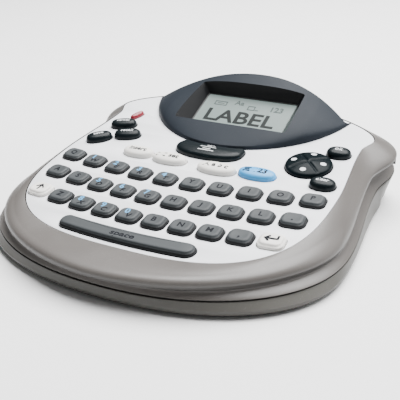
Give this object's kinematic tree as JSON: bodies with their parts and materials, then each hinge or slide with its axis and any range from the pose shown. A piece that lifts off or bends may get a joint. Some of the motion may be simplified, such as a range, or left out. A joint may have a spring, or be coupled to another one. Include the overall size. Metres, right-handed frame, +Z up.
{
  "type": "label maker",
  "caption": "Tabletop label maker with a sloping letter keyboard, a four-way pad, a raised display under a domed cover, a rear tape door and a battery door in its base.",
  "frame": {"origin": "on the table under the middle of the casing's bounding box, at the bottom of the rubber feet", "axes": "+X to the user's right, +Y away from the user, +Z up"},
  "size_m": [0.176, 0.172, 0.055],
  "materials": {
    "shell_lower": "satin, warm grey",
    "shell_upper": "satin, warm silver grey with fine metallic flake",
    "panel": "fine-grained matt, cool white",
    "cover": "satin metallic slate grey",
    "lcd": "grey-green liquid crystal behind clear film",
    "board": "green solder mask",
    "cell": "printed metal jacket",
    "plated_steel": "nickel plated",
    "rubber": "matt",
    "cassette": "smoked",
    "engine": "moulded",
    "key_grey": "soft satin silicone",
    "key_white": "soft satin silicone",
    "key_blue": "soft satin silicone",
    "key_dark": "satin gloss",
    "key_red": "satin gloss",
    "print_white": "printed ink",
    "print_dark": "printed ink",
    "print_blue": "printed ink"
  },
  "bodies": {
    "casing": {"lower_shell": "shell_lower", "upper_shell": "shell_upper", "keypad_panel": "panel", "display_cover": "cover", "lcd_module": "lcd", "main_board": "board", "battery_cells": "cell", "battery_contacts": "plated_steel", "case_screws": "plated_steel", "rubber_feet": "rubber", "tape_cassette": "cassette", "print_engine": "engine"},
    "tape_door": {"tape_door": "shell_upper"},
    "battery_door": {"battery_door": "shell_lower"},
    "cutter_button": {"cutter_button": "shell_upper"},
    "platen_roller": {"platen_roller": "rubber"},
    "key_q": {"key_q": "key_grey"},
    "key_w": {"key_w": "key_grey"},
    "key_e": {"key_e": "key_grey"},
    "key_r": {"key_r": "key_grey"},
    "key_t": {"key_t": "key_grey"},
    "key_y": {"key_y": "key_grey"},
    "key_u": {"key_u": "key_grey"},
    "key_i": {"key_i": "key_grey"},
    "key_o": {"key_o": "key_grey"},
    "key_p": {"key_p": "key_grey"},
    "key_a": {"key_a": "key_grey"},
    "key_s": {"key_s": "key_grey"},
    "key_d": {"key_d": "key_grey"},
    "key_f": {"key_f": "key_grey"},
    "key_g": {"key_g": "key_grey"},
    "key_h": {"key_h": "key_grey"},
    "key_j": {"key_j": "key_grey"},
    "key_k": {"key_k": "key_grey"},
    "key_l": {"key_l": "key_grey"},
    "key_period": {"key_period": "key_grey"},
    "key_shift": {"key_shift": "key_white"},
    "key_z": {"key_z": "key_grey"},
    "key_x": {"key_x": "key_grey"},
    "key_c": {"key_c": "key_grey"},
    "key_v": {"key_v": "key_grey"},
    "key_b": {"key_b": "key_grey"},
    "key_n": {"key_n": "key_grey"},
    "key_m": {"key_m": "key_grey"},
    "key_comma": {"key_comma": "key_grey"},
    "key_enter": {"key_enter": "key_white"},
    "key_space": {"key_space": "key_grey"},
    "key_insert": {"key_insert": "key_white"},
    "key_settings": {"key_settings": "key_white"},
    "key_format": {"key_format": "key_white"},
    "key_mode": {"key_mode": "key_blue"},
    "key_cancel": {"key_cancel": "key_dark"},
    "key_save": {"key_save": "key_dark"},
    "key_recall": {"key_recall": "key_dark"},
    "key_power": {"key_power": "key_red"},
    "key_ok": {"key_ok": "key_dark"},
    "key_clear": {"key_clear": "key_dark"},
    "key_print": {"key_print": "key_dark"},
    "nav_pivot": {"nav_pivot": "engine"},
    "nav_disc": {"nav_disc": "key_dark"}
  },
  "joints": [
    {"name": "tape_door_hinge", "type": "hinge", "parent": "casing", "child": "tape_door", "pos_m": [0, 0.0844, 0.0136], "axis": [-1, 0, 0], "range_deg": [0, 90]},
    {"name": "battery_door_hinge", "type": "hinge", "parent": "casing", "child": "battery_door", "pos_m": [0, 0.0082, 0.002], "axis": [-1, 0, 0], "range_deg": [0, 75]},
    {"name": "cutter_slide", "type": "slide", "parent": "casing", "child": "cutter_button", "axis": [-1, 0, 0], "range_m": [0, 0.004], "stiffness_N_per_m": 500},
    {"name": "platen_spin", "type": "hinge", "parent": "casing", "child": "platen_roller", "pos_m": [0.0496, 0.062, 0.0205], "axis": [0, 0, 1], "continuous": true},
    {"name": "press_print", "type": "slide", "parent": "casing", "child": "key_print", "axis": [0, 0.1573, -0.9876], "range_m": [0, 0.0012], "stiffness_N_per_m": 400},
    {"name": "nav_tilt_updown", "type": "hinge", "parent": "casing", "child": "nav_pivot", "pos_m": [0.0524, 0.02338, 0.02719], "axis": [1, 0, 0], "range_deg": [-4, 4], "stiffness_Nm_per_rad": 0.07},
    {"name": "nav_tilt_leftright", "type": "hinge", "parent": "nav_pivot", "child": "nav_disc", "pos_m": [0.0524, 0.02338, 0.02719], "axis": [0, 0.9876, 0.1573], "range_deg": [-4, 4], "stiffness_Nm_per_rad": 0.07},
    {"name": "press_power", "type": "slide", "parent": "casing", "child": "key_power", "axis": [0, 0.1573, -0.9876], "range_m": [0, 0.0012], "stiffness_N_per_m": 400},
    {"name": "press_space", "type": "slide", "parent": "casing", "child": "key_space", "axis": [0, 0.1573, -0.9876], "range_m": [0, 0.0012], "stiffness_N_per_m": 500},
    {"name": "press_q", "type": "slide", "parent": "casing", "child": "key_q", "axis": [0, 0.1573, -0.9876], "range_m": [0, 0.0012], "stiffness_N_per_m": 400},
    {"name": "press_w", "type": "slide", "parent": "casing", "child": "key_w", "axis": [0, 0.1573, -0.9876], "range_m": [0, 0.0012], "stiffness_N_per_m": 400},
    {"name": "press_e", "type": "slide", "parent": "casing", "child": "key_e", "axis": [0, 0.1573, -0.9876], "range_m": [0, 0.0012], "stiffness_N_per_m": 400},
    {"name": "press_r", "type": "slide", "parent": "casing", "child": "key_r", "axis": [0, 0.1573, -0.9876], "range_m": [0, 0.0012], "stiffness_N_per_m": 400},
    {"name": "press_t", "type": "slide", "parent": "casing", "child": "key_t", "axis": [0, 0.1573, -0.9876], "range_m": [0, 0.0012], "stiffness_N_per_m": 400},
    {"name": "press_y", "type": "slide", "parent": "casing", "child": "key_y", "axis": [0, 0.1573, -0.9876], "range_m": [0, 0.0012], "stiffness_N_per_m": 400},
    {"name": "press_u", "type": "slide", "parent": "casing", "child": "key_u", "axis": [0, 0.1573, -0.9876], "range_m": [0, 0.0012], "stiffness_N_per_m": 400},
    {"name": "press_i", "type": "slide", "parent": "casing", "child": "key_i", "axis": [0, 0.1573, -0.9876], "range_m": [0, 0.0012], "stiffness_N_per_m": 400},
    {"name": "press_o", "type": "slide", "parent": "casing", "child": "key_o", "axis": [0, 0.1573, -0.9876], "range_m": [0, 0.0012], "stiffness_N_per_m": 400},
    {"name": "press_p", "type": "slide", "parent": "casing", "child": "key_p", "axis": [0, 0.1573, -0.9876], "range_m": [0, 0.0012], "stiffness_N_per_m": 400},
    {"name": "press_a", "type": "slide", "parent": "casing", "child": "key_a", "axis": [0, 0.1573, -0.9876], "range_m": [0, 0.0012], "stiffness_N_per_m": 400},
    {"name": "press_s", "type": "slide", "parent": "casing", "child": "key_s", "axis": [0, 0.1573, -0.9876], "range_m": [0, 0.0012], "stiffness_N_per_m": 400},
    {"name": "press_d", "type": "slide", "parent": "casing", "child": "key_d", "axis": [0, 0.1573, -0.9876], "range_m": [0, 0.0012], "stiffness_N_per_m": 400},
    {"name": "press_f", "type": "slide", "parent": "casing", "child": "key_f", "axis": [0, 0.1573, -0.9876], "range_m": [0, 0.0012], "stiffness_N_per_m": 400},
    {"name": "press_g", "type": "slide", "parent": "casing", "child": "key_g", "axis": [0, 0.1573, -0.9876], "range_m": [0, 0.0012], "stiffness_N_per_m": 400},
    {"name": "press_h", "type": "slide", "parent": "casing", "child": "key_h", "axis": [0, 0.1573, -0.9876], "range_m": [0, 0.0012], "stiffness_N_per_m": 400},
    {"name": "press_j", "type": "slide", "parent": "casing", "child": "key_j", "axis": [0, 0.1573, -0.9876], "range_m": [0, 0.0012], "stiffness_N_per_m": 400},
    {"name": "press_k", "type": "slide", "parent": "casing", "child": "key_k", "axis": [0, 0.1573, -0.9876], "range_m": [0, 0.0012], "stiffness_N_per_m": 400},
    {"name": "press_l", "type": "slide", "parent": "casing", "child": "key_l", "axis": [0, 0.1573, -0.9876], "range_m": [0, 0.0012], "stiffness_N_per_m": 400},
    {"name": "press_period", "type": "slide", "parent": "casing", "child": "key_period", "axis": [0, 0.1573, -0.9876], "range_m": [0, 0.0012], "stiffness_N_per_m": 400},
    {"name": "press_shift", "type": "slide", "parent": "casing", "child": "key_shift", "axis": [0, 0.1573, -0.9876], "range_m": [0, 0.0012], "stiffness_N_per_m": 400},
    {"name": "press_z", "type": "slide", "parent": "casing", "child": "key_z", "axis": [0, 0.1573, -0.9876], "range_m": [0, 0.0012], "stiffness_N_per_m": 400},
    {"name": "press_x", "type": "slide", "parent": "casing", "child": "key_x", "axis": [0, 0.1573, -0.9876], "range_m": [0, 0.0012], "stiffness_N_per_m": 400},
    {"name": "press_c", "type": "slide", "parent": "casing", "child": "key_c", "axis": [0, 0.1573, -0.9876], "range_m": [0, 0.0012], "stiffness_N_per_m": 400},
    {"name": "press_v", "type": "slide", "parent": "casing", "child": "key_v", "axis": [0, 0.1573, -0.9876], "range_m": [0, 0.0012], "stiffness_N_per_m": 400},
    {"name": "press_b", "type": "slide", "parent": "casing", "child": "key_b", "axis": [0, 0.1573, -0.9876], "range_m": [0, 0.0012], "stiffness_N_per_m": 400},
    {"name": "press_n", "type": "slide", "parent": "casing", "child": "key_n", "axis": [0, 0.1573, -0.9876], "range_m": [0, 0.0012], "stiffness_N_per_m": 400},
    {"name": "press_m", "type": "slide", "parent": "casing", "child": "key_m", "axis": [0, 0.1573, -0.9876], "range_m": [0, 0.0012], "stiffness_N_per_m": 400},
    {"name": "press_comma", "type": "slide", "parent": "casing", "child": "key_comma", "axis": [0, 0.1573, -0.9876], "range_m": [0, 0.0012], "stiffness_N_per_m": 400},
    {"name": "press_enter", "type": "slide", "parent": "casing", "child": "key_enter", "axis": [0, 0.1573, -0.9876], "range_m": [0, 0.0012], "stiffness_N_per_m": 400},
    {"name": "press_insert", "type": "slide", "parent": "casing", "child": "key_insert", "axis": [0, 0.1573, -0.9876], "range_m": [0, 0.0012], "stiffness_N_per_m": 400},
    {"name": "press_settings", "type": "slide", "parent": "casing", "child": "key_settings", "axis": [0, 0.1573, -0.9876], "range_m": [0, 0.0012], "stiffness_N_per_m": 400},
    {"name": "press_format", "type": "slide", "parent": "casing", "child": "key_format", "axis": [0, 0.1573, -0.9876], "range_m": [0, 0.0012], "stiffness_N_per_m": 400},
    {"name": "press_mode", "type": "slide", "parent": "casing", "child": "key_mode", "axis": [0, 0.1573, -0.9876], "range_m": [0, 0.0012], "stiffness_N_per_m": 400},
    {"name": "press_cancel", "type": "slide", "parent": "casing", "child": "key_cancel", "axis": [0, 0.1573, -0.9876], "range_m": [0, 0.0012], "stiffness_N_per_m": 400},
    {"name": "press_save", "type": "slide", "parent": "casing", "child": "key_save", "axis": [0, 0.1573, -0.9876], "range_m": [0, 0.0012], "stiffness_N_per_m": 400},
    {"name": "press_recall", "type": "slide", "parent": "casing", "child": "key_recall", "axis": [0, 0.1573, -0.9876], "range_m": [0, 0.0012], "stiffness_N_per_m": 400},
    {"name": "press_ok", "type": "slide", "parent": "casing", "child": "key_ok", "axis": [0, 0.1573, -0.9876], "range_m": [0, 0.0012], "stiffness_N_per_m": 400},
    {"name": "press_clear", "type": "slide", "parent": "casing", "child": "key_clear", "axis": [0, 0.1573, -0.9876], "range_m": [0, 0.0012], "stiffness_N_per_m": 400}
  ]
}
